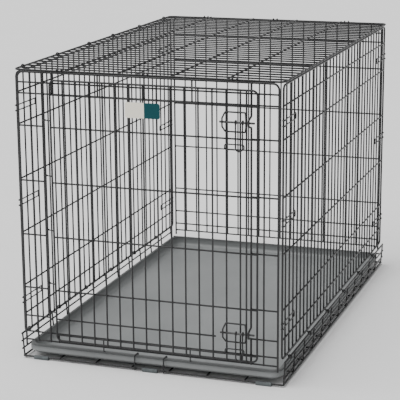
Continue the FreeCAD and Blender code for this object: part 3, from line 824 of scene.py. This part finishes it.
def rear_panel():
    """The far end panel, drawn at the door end and turned over."""
    w = Wires()
    w.wire(end_outline(-END_X, END_X), FRAME_R)
    for z in END_LEVELS:
        w.wire([(-END_X, -END_Y, z), (END_X, -END_Y, z)], BAR_R)
        for x in (-END_X, END_X):
            w.weld((x, -END_Y, z), (0, 1, 0), FRAME_BEAD)
    bars = spread(-END_X, END_X, REAR_BAYS)
    end_bars(w, bars, SILL_LEVELS[0], END_TOP, END_LEVELS + [END_TOP])
    w.flipped(y=-1).make("rear_wires", "rear_panel", "rear_grille")


# ------------------------------------------------------------------------ door
def door():
    """The door's grille."""
    w = Wires()
    outline = [
        (DOOR_LEFT, DOOR_BOTTOM),
        (DOOR_LEFT, DOOR_TOP),
        (DOOR_RIGHT, DOOR_TOP),
        (DOOR_RIGHT, DOOR_BOTTOM),
    ]
    w.wire([(x, -DOOR_Y, z) for x, z in outline], FRAME_R, DOOR_BEND, closed=True)
    levels = [SILL_LEVELS[1], LOW_LEVEL] + MAIN_LEVELS + [HIGH_LEVEL]
    bars = [DOOR_LEFT + BAR_PITCH * k for k in range(1, DOOR_BARS + 1)] + [LATCH_BAR_X]
    for z in levels:
        stop = SHORT_LEVEL_END if z == LOW_LEVEL else DOOR_RIGHT
        w.wire([(DOOR_LEFT, -DOOR_Y, z), (stop, -DOOR_Y, z)], BAR_R)
        w.weld((DOOR_LEFT, -DOOR_Y, z), (0, 1, 0), FRAME_BEAD)
        if stop == DOOR_RIGHT:
            w.weld((DOOR_RIGHT, -DOOR_Y, z), (0, 1, 0), FRAME_BEAD)
    low, high = DOOR_BOTTOM - BAR_END, DOOR_TOP + BAR_END
    for x in bars:
        w.wire([(x, -DOOR_BAR_Y, low), (x, -DOOR_BAR_Y, high)], BAR_R)
        for z in levels + [DOOR_BOTTOM, DOOR_TOP]:
            if z != LOW_LEVEL or x < SHORT_LEVEL_END:
                w.weld((x, -DOOR_Y - STEP / 2, z), (0, 1, 0))
    w.make("door_wires", "door", "door_grille")


def door_loops():
    """Loops of the door round the hinge wire."""
    w = Wires()
    for z in [LOW_LEVEL] + MAIN_LEVELS:
        level = z + LOOP_LIFT
        centre = (HINGE_X, -END_BAR_Y, level)
        eye_and_leg(w, centre, (DOOR_LEFT, -DOOR_Y, level), (0, 0, 1), LOOP_LEG)
        w.weld((DOOR_LEFT - 1.5, -DOOR_Y + 0.3, level), (0, 0, 1), LOOP_BEAD)
    w.make("door_loop_wires", "door", "door_hinge_loops")


def latch(place, level, keeper_drop):
    """One latch: guide, keeper, bolt and hanging handle."""
    left, right = GUIDE_X
    flat, out = -GUIDE_Y, -GUIDE_OUT_Y
    half, bow_half, taper = GUIDE_HALF, GUIDE_BOW_HALF, GUIDE_TAPER
    guide = Wires()
    guide.wire(
        [
            (left + taper, flat, level + half),
            (right - taper, flat, level + half),
            (right, out, level + bow_half),
            (right, out, level - bow_half),
            (right - taper, flat, level - half),
            (left + taper, flat, level - half),
            (left, out, level - bow_half),
            (left, out, level + bow_half),
        ],
        GUIDE_R,
        GUIDE_BEND,
        closed=True,
    )
    guide.make("latch_guide_ring_" + place, "door", "latch_guide_" + place)

    z = level - keeper_drop
    a, b = KEEPER_X
    low, high = z - KEEPER_HALF, z + KEEPER_HALF
    keeper = Wires()
    corners = [(a, low), (a, high), (b, high), (b, low)]
    keeper.wire([(x, -KEEPER_Y, height) for x, height in corners], HOOK_R, KEEPER_BEND, closed=True)
    keeper.make("latch_keeper_ring_" + place, "door", "latch_keeper_" + place)

    bolt = Wires()
    start, end = BOLT_X[0] + BOLT_TRIM, BOLT_X[1] - BOLT_TRIM
    bolt.wire([(start, -BOLT_Y, level), (end, -BOLT_Y, level)], FRAME_R)
    bolt.make("latch_rod_" + place, "bolt_" + place, "latch_bolt_" + place, RUBBED)

    eye = FRAME_R + RING_GAP + HANDLE_R
    start = level - math.sqrt(eye**2 - (HANDLE_Y - BOLT_Y) ** 2)
    handle = Wires()
    a, b = HANDLE_X
    corners = [(a, start), (a, level - HANDLE_DROP), (b, level - HANDLE_DROP), (b, start)]
    handle.wire([(x, -HANDLE_Y, height) for x, height in corners], HANDLE_R, HANDLE_BEND)
    for x in HANDLE_X:
        handle.eye((x, -BOLT_Y, level), (1, 0, 0), eye, HANDLE_R, WIDE_EYE_STEPS)
    handle.make("latch_grip_" + place, "handle_" + place, "latch_handle_" + place)


# ---------------------------------------------------------- pan clip and stage
def pan_clip():
    """The bent wire over the pan's front rim."""
    left = [
        (-CLIP_X, CLIP_FRONT_Y, CLIP_FOOT_Z),
        (-CLIP_X, CLIP_FRONT_Y, CLIP_OVER_Z),
        (-CLIP_X, CLIP_BAR_Y, CLIP_OVER_Z),
        (-CLIP_X, CLIP_BAR_Y, CLIP_BAR_Z),
    ]
    w = Wires()
    w.wire(left + [(-x, y, z) for x, y, z in reversed(left)], CLIP_R, CLIP_BEND)
    w.make("pan_clip_wire", "pan_clip", "pan_clip")


def finish_cad_nodes():
    """The CAD nodes whose shape stays get their real finish."""
    finishes = {
        "pan": pan_plastic(),
        "feet_front": foot_rubber(),
        "door_label_plate": label_print(),
    }
    finishes["feet_rear"] = finishes["feet_front"]
    for node, material in finishes.items():
        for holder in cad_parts[node].material_slots:
            holder.material = material


def studio():
    """A pale floor, an even pale surround and one large soft light."""
    mesh = bpy.data.meshes.new("studio_floor")
    half = FLOOR_HALF
    mesh.from_pydata(
        [(-half, -half, 0), (half, -half, 0), (half, half, 0), (-half, half, 0)], [], [(0, 1, 2, 3)]
    )
    floor = bpy.data.objects.new("studio_floor", mesh)
    bpy.context.collection.objects.link(floor)
    material, nodes, links, shader, place = new_material("studio_floor")
    tone = ramp(
        nodes,
        links,
        noise(nodes, links, place, 2.0, 2.0),
        [(0.2, grey(0.86)), (0.8, grey(0.88))],
    )
    links.new(tone, shader.inputs["Base Color"])
    shader.inputs["Roughness"].default_value = 0.9
    shader.inputs["Specular IOR Level"].default_value = 0.1
    mesh.materials.append(material)

    world = bpy.data.worlds.new("surround")
    bpy.context.scene.world = world
    world.use_nodes = True
    world.node_tree.nodes["Background"].inputs["Color"].default_value = (1.0, 1.0, 1.0, 1.0)
    world.node_tree.nodes["Background"].inputs["Strength"].default_value = WORLD_LIGHT
    lamp = bpy.data.lights.new("key", "SUN")
    lamp.energy = KEY_STRENGTH
    lamp.angle = math.radians(KEY_SOFTNESS)
    light = bpy.data.objects.new("key", lamp)
    bpy.context.collection.objects.link(light)
    light.rotation_euler = (-Vector(KEY_WAY)).to_track_quat("-Z", "Y").to_euler()


def camera():
    """The camera stands in front and to the right, a little above the crate."""
    a, e = math.radians(CAMERA_AZIMUTH), math.radians(CAMERA_ELEVATION)
    back = Vector((math.sin(a) * math.cos(e), -math.cos(a) * math.cos(e), math.sin(e)))
    right = Vector((math.cos(a), math.sin(a), 0.0))
    up = back.cross(right)
    axes = Matrix((right, up, back)).transposed()
    axes = axes @ Matrix.Rotation(math.radians(CAMERA_ROLL), 3, "Z")
    data = bpy.data.cameras.new("camera")
    data.sensor_width = 36.0
    data.lens = 36.0 * CAMERA_FOCUS_SHARE
    data.clip_end = 200.0
    view = bpy.data.objects.new("camera", data)
    bpy.context.collection.objects.link(view)
    view.matrix_world = Matrix.Translation(CAMERA_PLACE) @ axes.to_4x4()
    bpy.context.scene.camera = view


base_floor()
base_wall()
base_lip()
side_panel()
side_eyes()
corner_hooks()
side_top_eyes()
top_panel()
front_strips()
front_header()
front_sill()
hold_downs()
front_posts()
end_eyes()
rear_panel()
door()
door_loops()
for side, (height, drop) in LATCHES.items():
    latch(side, height, drop)
pan_clip()
finish_cad_nodes()
studio()
camera()
